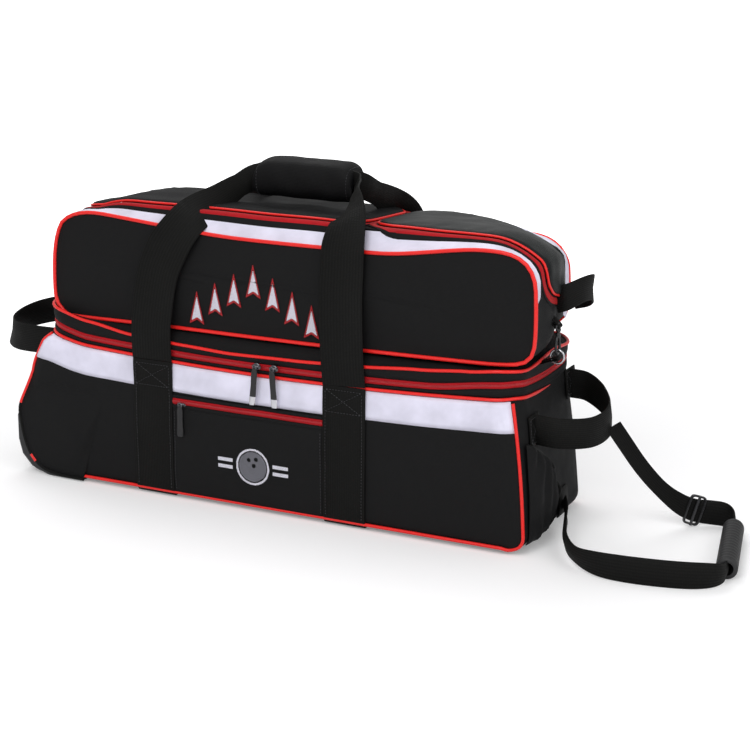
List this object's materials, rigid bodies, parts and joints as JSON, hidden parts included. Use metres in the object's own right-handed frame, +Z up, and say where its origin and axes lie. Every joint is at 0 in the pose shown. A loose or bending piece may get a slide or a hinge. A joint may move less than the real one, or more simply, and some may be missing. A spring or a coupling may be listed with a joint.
{
  "type": "rolling bowling bag",
  "caption": "Rolling bag for bowling balls with hinged zipped lid, shoe bag on top, carry handles with wrapped grip, wheels at one end and tow strap at the other",
  "frame": {"origin": "on the floor, under the middle of the bag's box without its tow strap", "axes": "+X along the bag towards the tow strap, front face towards -Y, +Z up"},
  "size_m": [1.1244, 0.2773, 0.472],
  "materials": {
    "black_polyester": "coated woven polyester, slight sheen",
    "board": "plain sheet",
    "lining_foam": "lined foam",
    "white_polyester": "woven",
    "red_piping": "satin vinyl piping",
    "red_zip_tape": "knitted zip tape",
    "black_webbing": "ribbed webbing",
    "moulded_plastic": "moulded, fine grain",
    "hub_plastic": "moulded",
    "tyre": "smooth urethane",
    "axle_steel": "turned",
    "grip_padding": "padded wrap",
    "hook_plastic": "moulded",
    "ring_metal": "plated wire",
    "slider_metal": "enamelled casting",
    "pull_cord": "moulded cord pull",
    "tube_rubber": "smooth tube"
  },
  "bodies": {
    "ball_bag": {"ball_bag_body": "black_polyester", "base_board": "board", "foam_ball_tray": "lining_foam", "ball_dividers": "lining_foam", "front_stripe": "white_polyester", "back_stripe": "white_polyester", "front_panel_piping": "red_piping", "back_panel_piping": "red_piping", "front_sewn_straps": "black_webbing", "back_sewn_straps": "black_webbing", "zip_tape_lower": "red_zip_tape", "front_pocket": "black_polyester", "front_pocket_zip": "red_zip_tape", "front_wheel_housing": "moulded_plastic", "back_wheel_housing": "moulded_plastic", "axle_pins": "axle_steel", "glide_runners": "moulded_plastic", "lid_hinge_strip": "black_polyester", "left_end_handle": "black_webbing", "right_end_handle": "black_webbing", "end_pocket": "black_polyester", "tow_strap_anchor": "black_webbing", "tow_strap": "black_webbing", "tow_slider": "hook_plastic", "tow_grip": "tube_rubber"},
    "lid_and_shoe_bag": {"zip_tape_upper": "red_zip_tape", "lid": "black_polyester", "lid_piping": "red_piping", "shoe_bag_body": "black_polyester", "shoe_bag_divider": "lining_foam", "front_shoe_gusset": "white_polyester", "back_shoe_gusset": "white_polyester", "front_shoe_piping": "red_piping", "back_shoe_piping": "red_piping", "left_flap_zip": "red_zip_tape", "left_flap": "black_polyester", "left_flap_piping": "red_piping", "right_flap_zip": "red_zip_tape", "shoe_bag_handle": "black_webbing", "snap_hooks": "hook_plastic", "clip_rings": "ring_metal", "hook_tabs": "black_polyester", "ring_tabs": "black_polyester"},
    "right_flap": {"right_flap": "black_polyester", "right_flap_piping": "red_piping"},
    "front_handle": {"front_carry_handle": "black_webbing", "handle_grip": "grip_padding"},
    "back_handle": {"back_carry_handle": "black_webbing"},
    "front_wheel": {"front_wheel_hub": "hub_plastic", "front_wheel_tyre": "tyre"},
    "back_wheel": {"back_wheel_hub": "hub_plastic", "back_wheel_tyre": "tyre"},
    "lid_slider_left": {"lid_slider_left": "slider_metal"},
    "lid_pull_left": {"lid_pull_left": "pull_cord"},
    "lid_slider_right": {"lid_slider_right": "slider_metal"},
    "lid_pull_right": {"lid_pull_right": "pull_cord"},
    "pocket_slider": {"pocket_slider": "slider_metal"},
    "pocket_pull": {"pocket_pull": "pull_cord"}
  },
  "joints": [
    {"name": "lid_hinge", "type": "hinge", "parent": "ball_bag", "child": "lid_and_shoe_bag", "pos_m": [0, 0.1235, 0.216], "axis": [-1, 0, 0], "range_deg": [0, 90]},
    {"name": "front_handle_swing", "type": "hinge", "parent": "ball_bag", "child": "front_handle", "pos_m": [0, -0.129, 0.197], "axis": [1, 0, 0], "range_deg": [0, 148.5]},
    {"name": "back_handle_swing", "type": "hinge", "parent": "ball_bag", "child": "back_handle", "pos_m": [0, 0.129, 0.205], "axis": [-1, 0, 0], "range_deg": [0, 90]},
    {"name": "right_flap_hinge", "type": "hinge", "parent": "lid_and_shoe_bag", "child": "right_flap", "pos_m": [0.3664, 0, 0.3977], "axis": [0, 0.9975, -0.0712], "range_deg": [0, 105]},
    {"name": "front_wheel_spin", "type": "hinge", "parent": "ball_bag", "child": "front_wheel", "pos_m": [-0.351, -0.104, 0.0375], "axis": [0, 1, 0], "continuous": true},
    {"name": "back_wheel_spin", "type": "hinge", "parent": "ball_bag", "child": "back_wheel", "pos_m": [-0.351, 0.104, 0.0375], "axis": [0, 1, 0], "continuous": true},
    {"name": "lid_slider_left_run", "type": "slide", "parent": "ball_bag", "child": "lid_slider_left", "axis": [1, 0, 0], "range_m": [-0.118, 0]},
    {"name": "lid_slider_right_run", "type": "slide", "parent": "ball_bag", "child": "lid_slider_right", "axis": [1, 0, 0], "range_m": [0, 0.058]},
    {"name": "pocket_slider_run", "type": "slide", "parent": "ball_bag", "child": "pocket_slider", "axis": [1, 0, 0], "range_m": [0, 0.2]},
    {"name": "lid_pull_left_swing", "type": "hinge", "parent": "lid_slider_left", "child": "lid_pull_left", "pos_m": [0.008, -0.1355, 0.208], "axis": [-1, 0, 0], "range_deg": [0, 150]},
    {"name": "lid_pull_right_swing", "type": "hinge", "parent": "lid_slider_right", "child": "lid_pull_right", "pos_m": [0.034, -0.1355, 0.208], "axis": [-1, 0, 0], "range_deg": [0, 150]},
    {"name": "pocket_pull_swing", "type": "hinge", "parent": "pocket_slider", "child": "pocket_pull", "pos_m": [-0.11, -0.1331, 0.139], "axis": [-1, 0, 0], "range_deg": [0, 150]}
  ],
  "couplings": [
    {"joint": "front_handle_swing", "follows": "lid_hinge", "ratio": 1.65},
    {"joint": "back_handle_swing", "follows": "lid_hinge", "ratio": 1}
  ]
}
